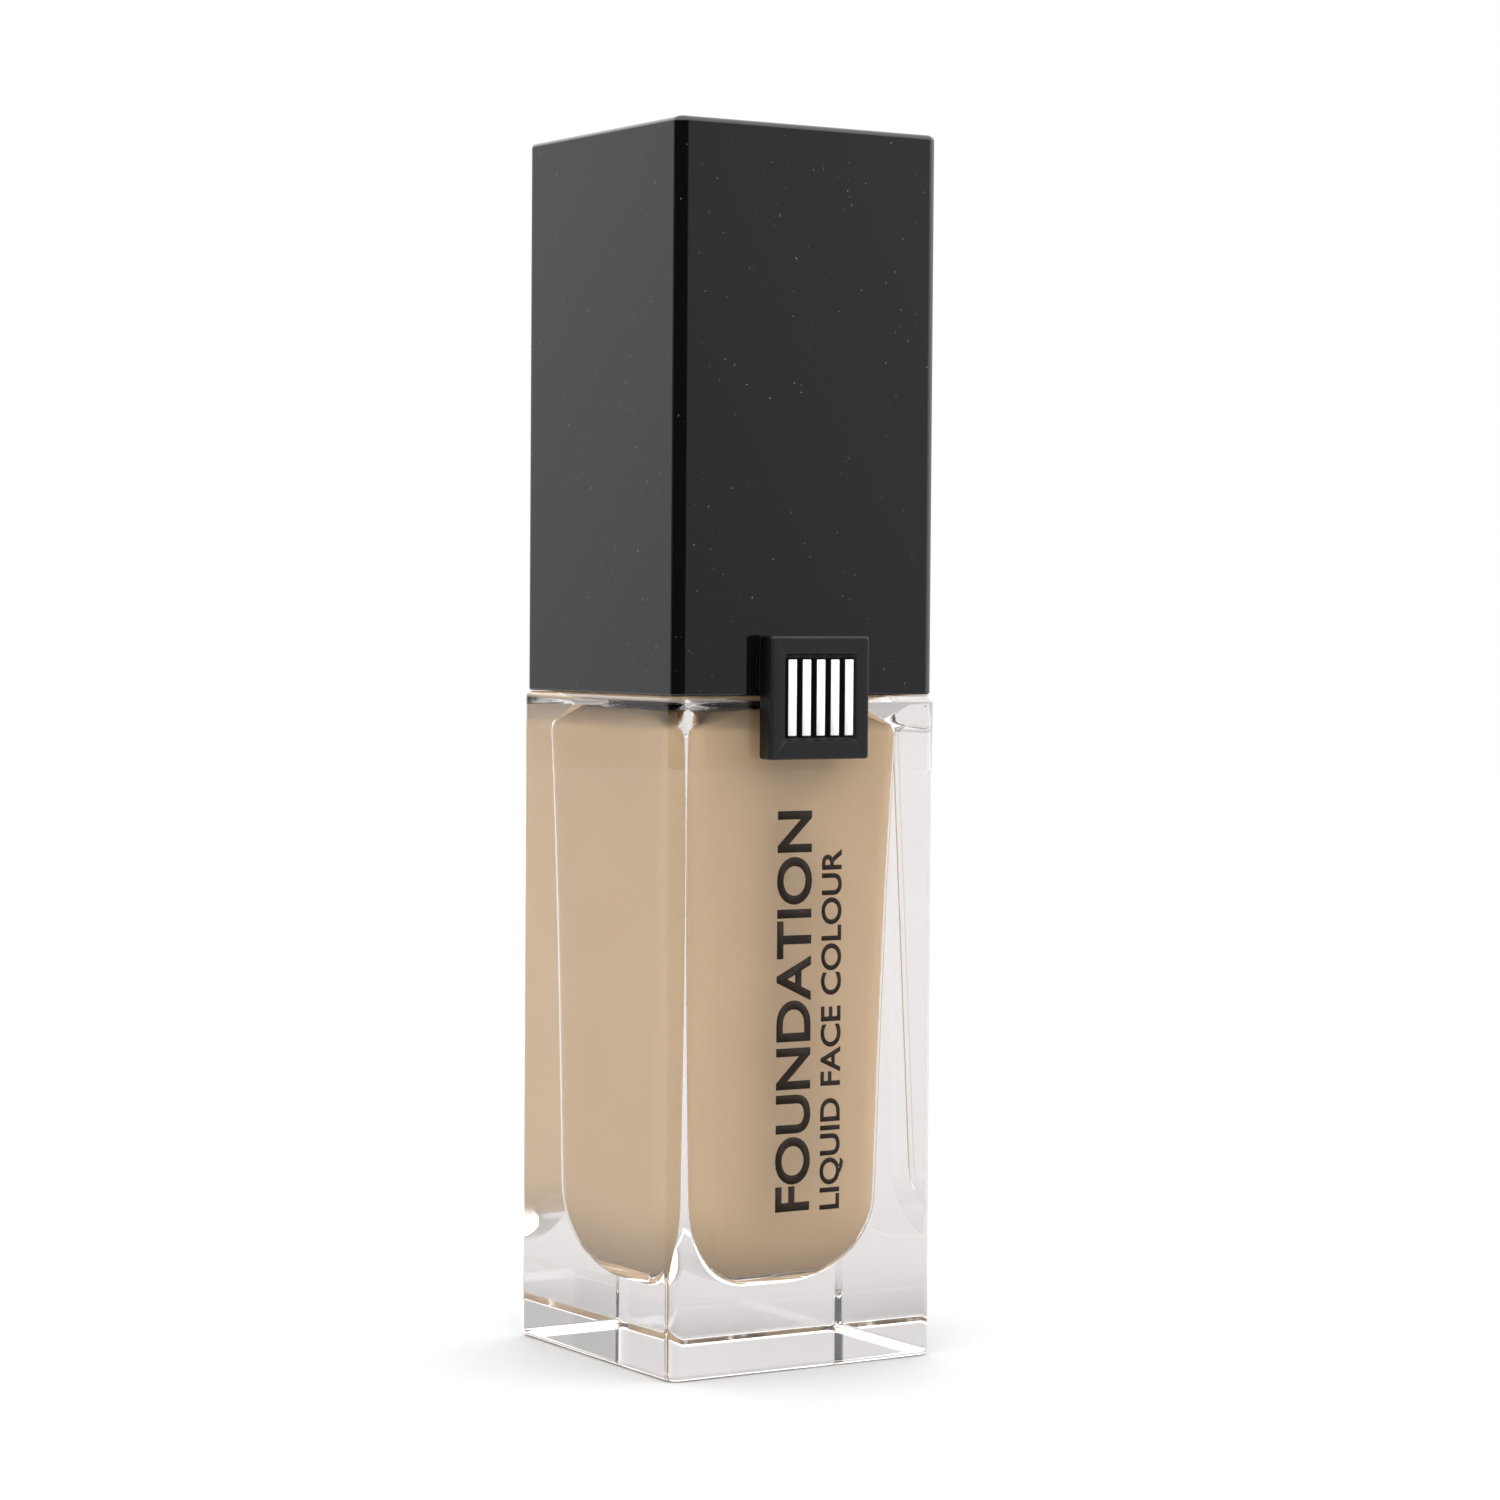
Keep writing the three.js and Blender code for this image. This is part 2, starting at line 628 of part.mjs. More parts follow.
const MATERIALS = {
  glass: { color: 0xf0f4f4, roughness: 0.03, metalness: 0, transparent: true, opacity: 0.35 },
  makeup: { color: 0xcbb297, roughness: 0.35, metalness: 0 },
  glossBlack: { color: 0x111113, roughness: 0.08, metalness: 0 },
  satinBlack: { color: 0x161617, roughness: 0.4, metalness: 0 },
  white: { color: 0xe8e8e4, roughness: 0.5, metalness: 0 },
  clear: { color: 0xe4e9ea, roughness: 0.3, metalness: 0, transparent: true, opacity: 0.6 },
  rubber: { color: 0xd9d8d2, roughness: 0.7, metalness: 0 },
  steel: { color: 0xb9bcc0, roughness: 0.25, metalness: 1 },
};

const PIECES = [
  ['glass_bottle', 'glass', glassBottle],
  ['foundation_fill', 'makeup', foundationFill],
  ['neck_gasket', 'rubber', neckGasket],
  ['pump_housing', 'clear', pumpHousing],
  ['stem_guide', 'white', stemGuide],
  ['closure_ring', 'white', closureRing],
  ['pump_collar', 'glossBlack', pumpCollar],
  ['ball_retainer', 'white', ballRetainer],
  ['dip_tube', 'clear', dipTube],
  ['return_spring', 'steel', returnSpring],
  ['valve_pin', 'white', valvePin],
  ['piston', 'white', piston],
  ['stem', 'white', stem],
  ['inlet_ball', 'steel', inletBall],
  ['actuator_core', 'satinBlack', actuatorCore],
  ['actuator_cover', 'glossBlack', actuatorCover],
  ['nozzle_insert', 'glossBlack', nozzleInsert],
  ['cap_shell', 'glossBlack', capShell],
  ['cap_liner', 'satinBlack', capLiner],
  ['badge_plate', 'satinBlack', badgePlate],
];

const foundationBottle = new THREE.Group();
for (const [name, finish, make] of PIECES) {
  const material = new THREE.MeshStandardMaterial(MATERIALS[finish]);
  const mesh = new THREE.Mesh(geometryOf(make()), material);
  mesh.name = name;
  foundationBottle.add(mesh);
}

export default foundationBottle;
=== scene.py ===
"""The looks of a square glass foundation bottle with a treatment pump under a tall square cap.

Lengths are in millimetres until a mesh is made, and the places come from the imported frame.
"""

import math

import bpy
from mathutils import Matrix, Vector


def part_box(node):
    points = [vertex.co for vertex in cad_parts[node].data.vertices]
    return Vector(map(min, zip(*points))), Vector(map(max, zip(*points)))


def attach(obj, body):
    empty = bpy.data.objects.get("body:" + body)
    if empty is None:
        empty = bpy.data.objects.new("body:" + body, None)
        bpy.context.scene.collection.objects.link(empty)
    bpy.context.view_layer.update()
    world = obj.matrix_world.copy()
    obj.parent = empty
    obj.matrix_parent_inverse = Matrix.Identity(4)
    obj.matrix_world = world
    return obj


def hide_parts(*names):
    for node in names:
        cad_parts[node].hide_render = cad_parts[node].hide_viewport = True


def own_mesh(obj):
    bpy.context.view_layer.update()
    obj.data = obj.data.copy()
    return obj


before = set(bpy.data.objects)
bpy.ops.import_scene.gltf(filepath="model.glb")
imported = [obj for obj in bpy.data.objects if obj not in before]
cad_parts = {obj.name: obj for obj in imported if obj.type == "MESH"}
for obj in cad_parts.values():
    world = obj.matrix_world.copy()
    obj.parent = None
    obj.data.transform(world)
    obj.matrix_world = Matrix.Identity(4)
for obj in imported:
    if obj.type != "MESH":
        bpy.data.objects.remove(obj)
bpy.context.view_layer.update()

MM = 0.001

# ---- shape details that the frame's boxes don't give ----

SEAM_SHOWN = 0.06         # the gap that shows
GLASS_CORNER = 1.4
GLASS_HEEL = 0.6
GLASS_SHOULDER = 0.7
NECK_RADIUS = 9.2
NECK_BORE = 7.0
NECK_BEAD = 0.8

FILL_GAP = 0.3            # between the CAD's fill and the glass, which is closed here
WETTED = 0.03             # the make-up wets the glass, so its skin lies this close to the wall
FLOOR_ROUNDING = 9.4      # radius where the chamber's wall meets its floor
CHAMBER_HALF_LOW = 11
CHAMBER_HALF_HIGH = 12.2
ROUNDNESS_LOW = 0.26      # the chamber's corner radius over its half width
ROUNDNESS_HIGH = 0.13
WALL_TOP_Z = 62.95        # where the wall bends inwards, raised with the shoulder that closes the seam
BEND_RADIUS = 1.6
SHOULDER_SLOPE = math.radians(50)
SLOPE_END_HALF = 10.3     # half width of the chamber at the foot of the neck

CAP_CORNER = 1.15
CAP_TOP_EDGE = 0.6
CAP_BOTTOM_EDGE = 0.2
CAP_WALL = 1.4
CAP_TOP_WALL = 1.6

BADGE_EDGE = 0.35
BADGE_STAND_OFF = 0.34    # from the cap's face to the back of the half that hangs over the glass
RELIEF_WIDTH = 8.3
RELIEF_HEIGHT = 8.6
RELIEF_DEPTH = 0.6
RIB_COUNT = 5

FLOOR_TOP = -0.04         # a film of air stays under the glass, which is what makes its base mirror
CEILING_LIGHT = 3.2       # brightness of the studio above the walls
DARK = 0.008
WALL_LIGHT = [            # (azimuth, brightness): 0 is in front of the bottle, 90 to its right
    (-180, 0.92), (-140, 0.92), (-134, DARK), (-128.5, DARK),
    (-127.5, 0.9), (-124.5, 0.9), (-123.5, DARK),      # a strip light that lines the left edge
    (13, DARK), (29, 0.57), (36, 0.81), (45, 1.5),     # dark around the camera
    (62, 2.2), (90, 1.8), (108, 1.2),                  # a reflector on the right
    (125, 0.92), (180, 0.92),
]

CORNER_STEPS = 14         # points around a quarter turn of a square outline
SIDES = 96                # sides of a turned piece


def box_mm(node):
    """A CAD node's lowest and highest corners, in millimetres."""
    low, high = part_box(node)
    return low / MM, high / MM


# ---- mesh building ----


def mesh_object(name, points, faces, body, finish):
    """A smooth-shaded mesh piece that rides on a body."""
    mesh = bpy.data.meshes.new(name)
    mesh.from_pydata([Vector(p) * MM for p in points], [], faces)
    mesh.validate()
    mesh.update()
    mesh.shade_smooth()
    mesh.materials.append(finish)
    piece = bpy.data.objects.new(name, mesh)
    bpy.context.scene.collection.objects.link(piece)
    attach(piece, body)
    return piece


def keep_flats_flat(piece):
    """Weights the normals by face area, so that only the small edge faces bend the light."""
    flats = piece.modifiers.new("flat_faces", "WEIGHTED_NORMAL")
    flats.mode = "FACE_AREA"
    flats.weight = 100
    flats.keep_sharp = True


def rounded_square(half, corner, z, steps=CORNER_STEPS):
    """The outline of a square with round corners, counter-clockwise seen from above."""
    corner = min(corner, half - 0.02)
    centre = half - corner
    points = []
    for quarter in range(4):
        x = centre * (1 if quarter < 2 else -1)
        y = centre * (1 if quarter in (1, 2) else -1)
        for i in range(steps + 1):
            angle = math.radians(90) * (quarter - 1 + i / steps)
            points.append((x + corner * math.cos(angle), y + corner * math.sin(angle), z))
    return points


def loft(outlines):
    """Points and faces of a skin through outlines with equal counts, closed with a face at each end."""
    count = len(outlines[0])
    points = [p for outline in outlines for p in outline]
    faces = [tuple(range(count - 1, -1, -1))]
    for level in range(len(outlines) - 1):
        low, high = level * count, (level + 1) * count
        for i in range(count):
            after = (i + 1) % count
            faces.append((low + i, low + after, high + after, high + i))
    faces.append(tuple(range(len(points) - count, len(points))))
    return points, faces


def arc(centre, radius, start, end, steps):
    """Points [a, b] along an arc, with angles in degrees."""
    points = []
    for i in range(steps + 1):
        angle = math.radians(start + (end - start) * i / steps)
        points.append((centre[0] + radius * math.cos(angle), centre[1] + radius * math.sin(angle)))
    return points


def filleted(profile, radius, steps=4):
    """A profile of (radius, z) points with its corners rounded. Points on the axis stay as they are."""
    smooth = []
    count = len(profile)
    for i, point in enumerate(profile):
        here = Vector(point)
        if here.x == 0:
            smooth.append(point)
            continue
        before = Vector(profile[i - 1]) - here
        after = Vector(profile[(i + 1) % count]) - here
        reach = min(radius, 0.4 * before.length, 0.4 * after.length)
        start = here + before.normalized() * reach
        end = here + after.normalized() * reach
        for j in range(steps + 1):
            t = j / steps
            smooth.append(tuple(start * (1 - t) ** 2 + here * 2 * t * (1 - t) + end * t ** 2))
    return smooth


def turn(profile, sides=SIDES):
    """Points and faces of a profile turned about Z. A profile that leaves the axis closes on itself."""
    points, rings = [], []
    for radius, z in profile:
        if radius == 0:
            rings.append([len(points)] * sides)
            points.append((0, 0, z))
            continue
        rings.append(list(range(len(points), len(points) + sides)))
        for i in range(sides):
            angle = 2 * math.pi * i / sides
            points.append((radius * math.cos(angle), radius * math.sin(angle), z))
    pairs = list(zip(rings, rings[1:]))
    if profile[0][0] > 0:
        pairs.append((rings[-1], rings[0]))
    faces = []
    for low, high in pairs:
        for i in range(sides):
            after = (i + 1) % sides
            corners = [low[i], low[after], high[after], high[i]]
            face = tuple(dict.fromkeys(corners))
            if len(face) > 2:
                faces.append(face)
    return points, faces


def turned_piece(node, body, finish, profile, radius=0.15, sides=SIDES):
    """A turned piece that stands for a CAD node."""
    points, faces = turn(filleted(profile, radius), sides)
    piece = mesh_object(node + "_look", points, faces, body, finish)
    keep_flats_flat(piece)
    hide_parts(node)
    return piece


# ---- materials ----


def material(name, **values):
    """A Principled material with plain values on its sockets. An underscore stands for a space."""
    made = bpy.data.materials.new(name)
    made.use_nodes = True
    shader = made.node_tree.nodes["Principled BSDF"]
    for socket, value in values.items():
        shader.inputs[socket.replace("_", " ")].default_value = value
    return made


def shader_of(made):
    return made.node_tree.nodes["Principled BSDF"]


def noise(made, scale, detail=3, roughness=0.5):
    """Noise over the piece, with scale in repeats per metre."""
    nodes, links = made.node_tree.nodes, made.node_tree.links
    place = nodes.new("ShaderNodeTexCoord")
    texture = nodes.new("ShaderNodeTexNoise")
    texture.inputs["Scale"].default_value = scale
    texture.inputs["Detail"].default_value = detail
    texture.inputs["Roughness"].default_value = roughness
    links.new(place.outputs["Object"], texture.inputs["Vector"])
    return texture.outputs["Fac"]


def ramp(made, factor, stops):
    """A colour ramp with (position, colour) stops."""
    node = made.node_tree.nodes.new("ShaderNodeValToRGB")
    elements = node.color_ramp.elements
    while len(elements) < len(stops):
        elements.new(0.5)
    for element, (position, colour) in zip(elements, stops):
        element.position = position
        element.color = (*colour, 1)
    made.node_tree.links.new(factor, node.inputs["Fac"])
    return node.outputs["Color"]


def spread(made, factor, low, high):
    """Maps a 0 to 1 factor onto low to high."""
    node = made.node_tree.nodes.new("ShaderNodeMapRange")
    node.inputs["To Min"].default_value = low
    node.inputs["To Max"].default_value = high
    made.node_tree.links.new(factor, node.inputs["Value"])
    return node.outputs["Result"]


def bump(made, height, depth_mm):
    """Bends the normals as if the height output stood that many millimetres proud."""
    node = made.node_tree.nodes.new("ShaderNodeBump")
    node.inputs["Strength"].default_value = 1
    node.inputs["Distance"].default_value = depth_mm * MM
    made.node_tree.links.new(height, node.inputs["Height"])
    made.node_tree.links.new(node.outputs["Normal"], shader_of(made).inputs["Normal"])


def feed(made, output, socket):
    made.node_tree.links.new(output, shader_of(made).inputs[socket])


def glass(name, index, tint):
    """Clear glass. Where make-up wets it, the index is that of the glass over that of the make-up."""
    return material(name, Base_Color=(*tint, 1), Roughness=0, IOR=index, Transmission_Weight=1)


def makeup():
    """Opaque beige make-up with faint clouds of pigment. It wets the glass, so it has no gloss."""
    made = material("makeup", Roughness=0.6, Specular_IOR_Level=0.08)
    clouds = noise(made, 90, detail=4)
    stops = [(0.3, (0.85, 0.625, 0.385)), (0.7, (0.88, 0.65, 0.405))]
    feed(made, ramp(made, clouds, stops), "Base Color")
    return made


def gloss_black(name, roughness):
    """Polished black with a few fine specks of dust and the faint orange peel of moulding."""
    made = material(name, IOR=1.5, Specular_Tint=(0.93, 0.92, 1, 1))
    dust = noise(made, 2600, detail=1)
    feed(made, ramp(made, dust, [(0.775, (0.0026, 0.0026, 0.0026)), (0.8, (0.09, 0.09, 0.1))]), "Base Color")
    haze = noise(made, 60)
    feed(made, spread(made, haze, roughness, roughness + 0.03), "Roughness")
    peel = noise(made, 350, detail=1)
    bump(made, peel, 0.0004)
    return made


def satin(name, colour, roughness, grain_mm=0.004, sheen=0.5):
    """Moulded plastic with a fine spark-eroded grain."""
    made = material(name, IOR=1.48, Specular_IOR_Level=sheen)
    tone = noise(made, 250)
    dark = tuple(c * 0.92 for c in colour)
    feed(made, ramp(made, tone, [(0.35, dark), (0.65, colour)]), "Base Color")
    feed(made, spread(made, noise(made, 900), roughness - 0.05, roughness + 0.05), "Roughness")
    bump(made, noise(made, 9000, detail=2), grain_mm)
    return made


def clear_plastic():
    made = material("clear_plastic", IOR=1.49, Transmission_Weight=0.85, Base_Color=(0.9, 0.93, 0.94, 1))
    feed(made, spread(made, noise(made, 500), 0.12, 0.2), "Roughness")
    return made


def steel():
    made = material("steel", Metallic=1, Base_Color=(0.62, 0.62, 0.64, 1))
    feed(made, spread(made, noise(made, 3000), 0.15, 0.28), "Roughness")
    return made


GLASS = glass("clear_glass", 1.5, (0.67, 0.648, 0.644))
WETTED_GLASS = glass("wetted_glass", 1.1, (1, 1, 1))
MAKEUP = makeup()
CAP_BLACK = gloss_black("cap_black", 0.03)
GLOSS_BLACK = gloss_black("gloss_black", 0.06)
SATIN_BLACK = satin("satin_black", (0.006, 0.006, 0.007), 0.34, sheen=0.22)
LINER_BLACK = satin("liner_black", (0.03, 0.03, 0.032), 0.55)
WHITE_PLASTIC = satin("white_plastic", (0.8, 0.8, 0.78), 0.45)
GASKET_RUBBER = satin("gasket_rubber", (0.7, 0.69, 0.65), 0.7)
CLEAR_PLASTIC = clear_plastic()
STEEL = steel()
FOIL_WHITE = satin("foil_white", (0.86, 0.86, 0.87), 0.35, grain_mm=0.001)
INK_BLACK = satin("ink_black", (0.018, 0.013, 0.01), 0.35, grain_mm=0.002, sheen=0.05)


# ---- the glass and what it holds ----


def chamber_outline(half, corner, z, inset):
    return rounded_square(half - inset, corner - inset, z)


def chamber_outlines(inset, floor_z):
    """The chamber's outlines from its floor up to the neck, drawn in by inset from the glass wall."""
    outlines = []
    wall_z = floor_z + FLOOR_ROUNDING
    floor_steps = 14
    for i in range(floor_steps):
        angle = math.radians(90) * i / floor_steps
        half = CHAMBER_HALF_LOW - FLOOR_ROUNDING * (1 - math.sin(angle))
        z = wall_z - (FLOOR_ROUNDING - inset) * math.cos(angle)
        outlines.append(chamber_outline(half, half * ROUNDNESS_LOW, z, inset))
    wall_steps = 20
    for i in range(wall_steps + 1):
        t = i / wall_steps
        half = CHAMBER_HALF_LOW + (CHAMBER_HALF_HIGH - CHAMBER_HALF_LOW) * t
        roundness = ROUNDNESS_LOW + (ROUNDNESS_HIGH - ROUNDNESS_LOW) * t ** 3
        z = wall_z + (WALL_TOP_Z - wall_z) * t
        outlines.append(chamber_outline(half, half * roundness, z, inset))
    return outlines + shoulder_outlines(inset)


def shoulder_outlines(inset):
    """The top of the chamber: a bend, a steep slope, and a ledge around the neck's bore."""
    outlines = []
    bend_steps = 8
    for i in range(1, bend_steps + 1):
        angle = (math.radians(90) - SHOULDER_SLOPE) * i / bend_steps
        closing = BEND_RADIUS - (BEND_RADIUS - inset) * math.cos(angle)
        bend_half = CHAMBER_HALF_HIGH - closing
        bend_corner = CHAMBER_HALF_HIGH * ROUNDNESS_HIGH - closing
        bend_z = WALL_TOP_Z + (BEND_RADIUS - inset) * math.sin(angle)
        outlines.append(rounded_square(bend_half, bend_corner, bend_z))
    slope_steps = 5
    for i in range(1, slope_steps + 1):
        t = i / slope_steps
        half = bend_half + (SLOPE_END_HALF - bend_half) * t
        corner = bend_corner + (SLOPE_END_HALF / 2 - bend_corner) * t
        z = bend_z + (bend_half - half) * math.tan(SHOULDER_SLOPE)
        outlines.append(rounded_square(half, corner, z))
    outlines.append(rounded_square(NECK_BORE - inset, NECK_BORE - inset, z + 0.2))
    return outlines


def glass_outside(half, shoulder_z, neck_top_z):
    """The outlines of the outside of the glass, from its flat bottom to the inner edge of the lip."""
    outlines = []
    for inset, z in arc((GLASS_HEEL, GLASS_HEEL), GLASS_HEEL, 270, 180, 6):
        outlines.append(rounded_square(half - inset, max(GLASS_CORNER - inset, 0.1), z))
    shoulder = (GLASS_SHOULDER, shoulder_z - GLASS_SHOULDER)
    for inset, z in arc(shoulder, GLASS_SHOULDER, 180, 90, 8):
        outlines.append(rounded_square(half - inset, max(GLASS_CORNER - inset, 0.1), z))
    neck = arc((NECK_RADIUS + 1, shoulder_z + 1), 1, 270, 180, 6)
    neck += arc((NECK_RADIUS + 0.2, neck_top_z - 2), NECK_BEAD - 0.2, -90, 90, 8)
    neck += arc((NECK_RADIUS - 0.4, neck_top_z - 0.4), 0.4, 0, 90, 4)
    neck += arc((NECK_BORE + 0.3, neck_top_z - 0.3), 0.3, 90, 180, 4)
    for radius, z in neck:
        outlines.append(rounded_square(radius, radius, z))
    return outlines


def make_glass():
    high = box_mm("glass_bottle")[1]
    floor_z = box_mm("foundation_fill")[0].z - FILL_GAP
    shoulder_z = box_mm("cap_shell")[0].z - SEAM_SHOWN
    outlines = glass_outside(high.x, shoulder_z, high.z)
    inside = chamber_outlines(0, floor_z)
    first_inside = len(outlines) * len(inside[0])
    points, faces = loft(outlines + inside[::-1])
    bottle = mesh_object("glass_bottle_look", points, faces, "bottle", GLASS)
    bottle.data.materials.append(WETTED_GLASS)
    for face in bottle.data.polygons:
        face.material_index = int(min(face.vertices) >= first_inside)
    keep_flats_flat(bottle)
    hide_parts("glass_bottle")


def make_fill():
    """The make-up, with a well in it where the pump and its dip tube stand."""
    low, high = box_mm("foundation_fill")
    outlines = chamber_outlines(WETTED, low.z - FILL_GAP)
    pump_low = box_mm("pump_housing")[0]
    dip_low, dip_high = box_mm("dip_tube")
    housing, spigot, dip = 5.1, 2.4, dip_high.x + 0.1
    cone_top, cone_foot = pump_low.z + 7.5, pump_low.z + 4.5
    well = [
        (NECK_BORE - WETTED, high.z),
        (housing, high.z),
        (housing, cone_top),
        (spigot, cone_foot),
        (spigot, pump_low.z - 0.2),
        (dip, pump_low.z - 0.2),
        (dip, dip_low.z - 0.3),
    ]
    for radius, z in well:
        outlines.append(rounded_square(radius, radius, z))
    points, faces = loft(outlines)
    fill = mesh_object("foundation_fill_look", points, faces, "bottle", MAKEUP)
    keep_flats_flat(fill)
    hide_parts("foundation_fill")


def printed_line(name, words, cap_height, length, baseline_x, start_z, boldness):
    """A line of print on the front of the glass. It reads upwards, with its letters' tops to the left."""
    curve = bpy.data.curves.new(name, "FONT")
    curve.body = words
    curve.offset = boldness
    curve.resolution_u = 6
    letters = bpy.data.objects.new(name + "_curve", curve)
    bpy.context.scene.collection.objects.link(letters)
    bpy.context.view_layer.update()
    drawn = letters.evaluated_get(bpy.context.evaluated_depsgraph_get())
    flat = bpy.data.meshes.new_from_object(drawn)
    bpy.data.objects.remove(letters)
    xs = [v.co.x for v in flat.vertices]
    ys = [v.co.y for v in flat.vertices]
    along = length / (max(xs) - min(xs))
    up = cap_height / (max(ys) - min(ys))
    front = box_mm("glass_bottle")[0].y
    points = []
    for v in flat.vertices:
        z = start_z + (v.co.x - min(xs)) * along
        x = baseline_x - (v.co.y - min(ys)) * up
        points.append((x, front, z))
    faces = [tuple(p.vertices) for p in flat.polygons]
    ink = mesh_object(name, points, faces, "bottle", INK_BLACK)
    thick = ink.modifiers.new("ink_film", "SOLIDIFY")
    thick.thickness = 0.03 * MM
    thick.offset = 1


def make_print():
    printed_line("print_line_1", "FOUNDATION",
                 cap_height=4.1, length=39.8, baseline_x=0.5, start_z=15.9, boldness=0.024)
    printed_line("print_line_2", "LIQUID FACE COLOUR",
                 cap_height=2.8, length=36, baseline_x=4.45, start_z=15.8, boldness=0.02)


# ---- the cap ----


def make_cap():
    low, high = box_mm("cap_shell")
    inside = high.x - CAP_WALL
    ceiling = high.z - CAP_TOP_WALL
    outlines = [rounded_square(inside - 0.5, 0.4, ceiling)]
    for inset, z in arc((0.5, ceiling - 0.5), 0.5, 90, 180, 4):
        outlines.append(rounded_square(inside - inset, 0.6, z))
    outlines.append(rounded_square(inside, 0.6, low.z + CAP_BOTTOM_EDGE))
    lip = arc((CAP_WALL - CAP_BOTTOM_EDGE, low.z + CAP_BOTTOM_EDGE), CAP_BOTTOM_EDGE, 360, 270, 4)
    lip += arc((CAP_BOTTOM_EDGE, low.z + CAP_BOTTOM_EDGE), CAP_BOTTOM_EDGE, 270, 180, 4)
    for inset, z in lip:
        corner = CAP_CORNER + (0.6 - CAP_CORNER) * inset / CAP_WALL
        outlines.append(rounded_square(high.x - inset, corner, z))
    for inset, z in arc((CAP_TOP_EDGE, high.z - CAP_TOP_EDGE), CAP_TOP_EDGE, 180, 90, 8):
        outlines.append(rounded_square(high.x - inset, CAP_CORNER - inset, z))
    points, faces = loft(outlines)
    cap = mesh_object("cap_shell_look", points, faces, "cap", CAP_BLACK)
    keep_flats_flat(cap)
    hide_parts("cap_shell")


def make_liner():
    """The sleeve that grips the collar, with a lip at each end that touches the cap's four walls."""
    low, high = box_mm("cap_liner")
    bore = box_mm("pump_collar")[1].x + 0.3
    sleeve = bore + 0.8
    turned_piece("cap_liner", "cap", LINER_BLACK, [
        (bore, low.z),
        (high.x, low.z),
        (high.x, low.z + 1),
        (sleeve, low.z + 1.4),
        (sleeve, high.z - 1.4),
        (high.x, high.z - 1),
        (high.x, high.z),
        (bore, high.z),
    ])


def upright_outline(centre_z, width, height, corner, y, steps=6):
    """A rounded rectangle standing in the XZ plane, counter-clockwise seen from the front."""
    points = []
    for quarter in range(4):
        x = (width / 2 - corner) * (1 if quarter < 2 else -1)
        z = (height / 2 - corner) * (1 if quarter in (1, 2) else -1)
        for i in range(steps + 1):
            angle = math.radians(90) * (quarter - 1 + i / steps)
            points.append((x + corner * math.cos(angle), y, centre_z + z + corner * math.sin(angle)))
    return points


def joined(parts):
    """The points and faces of several closed solids as one list of each."""
    points, faces = [], []
    for some_points, some_faces in parts:
        start = len(points)
        points += some_points
        faces += [tuple(start + i for i in face) for face in some_faces]
    return points, faces


def badge_slab(centre_z, width, height, back, front):
    """The plate, with soft edges at the front and a sunken field with sloping sides."""
    steps = arc((BADGE_EDGE, front + BADGE_EDGE), BADGE_EDGE, 180, 270, 6)
    outlines = [upright_outline(centre_z, width, height, BADGE_EDGE, back)]
    for inset, y in steps:
        outlines.append(upright_outline(centre_z, width - 2 * inset, height - 2 * inset, 0.3, y))
    floor = front + RELIEF_DEPTH
    for grow, y in [(0.06, front), (0, front + 0.06), (-0.3, floor)]:
        outlines.append(upright_outline(
            centre_z, RELIEF_WIDTH + 2 * grow, RELIEF_HEIGHT + 2 * grow, 0.15, y))
    return loft(outlines)


def badge_rib(x, centre_z, pitch, floor, crest):
    """An upright rib with sloping flanks and a flat crest."""
    root, top = pitch * 0.8, pitch * 0.58
    height = RELIEF_HEIGHT - 0.9
    levels = [
        (root, height + 0.2, floor + 0.2),
        (root, height + 0.2, floor),
        (top + 0.04, height - 0.16, crest + 0.04),
        (top, height - 0.2, crest),
    ]
    outlines = [upright_outline(centre_z, w, h, 0.08, y, steps=3) for w, h, y in levels]
    moved = [[(px + x, py, pz) for px, py, pz in outline] for outline in outlines]
    return loft(moved)


def foil_tab(x, centre_z, pitch, crest):
    """The white foil on a rib's crest."""
    width, height = pitch * 0.58 - 0.02, RELIEF_HEIGHT - 1.12
    outlines = [upright_outline(centre_z, width, height, 0.07, y, steps=3) for y in (crest, crest - 0.02)]
    return loft([[(px + x, py, pz) for px, py, pz in outline] for outline in outlines])


def make_badge():
    low, high = box_mm("badge_plate")
    cap_face = box_mm("cap_shell")[0].y
    front = low.y
    width, height = high.x - low.x, high.z - low.z
    centre_z = (low.z + high.z) / 2
    back = cap_face - BADGE_STAND_OFF
    floor, crest = front + RELIEF_DEPTH, front + 0.05
    pitch = RELIEF_WIDTH / RIB_COUNT
    places = [(i - (RIB_COUNT - 1) / 2) * pitch for i in range(RIB_COUNT)]

    pad_height = high.z - box_mm("cap_shell")[0].z - 0.2
    pad_z = high.z - pad_height / 2
    pad = loft([
        upright_outline(pad_z, width, pad_height, BADGE_EDGE, cap_face - 0.01),
        upright_outline(pad_z, width, pad_height, BADGE_EDGE, back - 0.1),
    ])
    solids = [badge_slab(centre_z, width, height, back, front), pad]
    solids += [badge_rib(x, centre_z, pitch, floor, crest) for x in places]
    points, faces = joined(solids)
    plate = mesh_object("badge_plate_look", points, faces, "cap", SATIN_BLACK)
    keep_flats_flat(plate)
    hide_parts("badge_plate")
    points, faces = joined([foil_tab(x, centre_z, pitch, crest) for x in places])
    mesh_object("badge_foil", points, faces, "cap", FOIL_WHITE)


# ---- the pump ----


def dress(node, finish):
    """Gives a CAD node that stays in view its finish and soft shading."""
    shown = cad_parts[node]
    shown.data.materials.clear()
    shown.data.materials.append(finish)
    edges = shown.modifiers.new("fine_edges", "BEVEL")
    edges.width = 0.05 * MM
    edges.segments = 2
    edges.limit_method = "ANGLE"


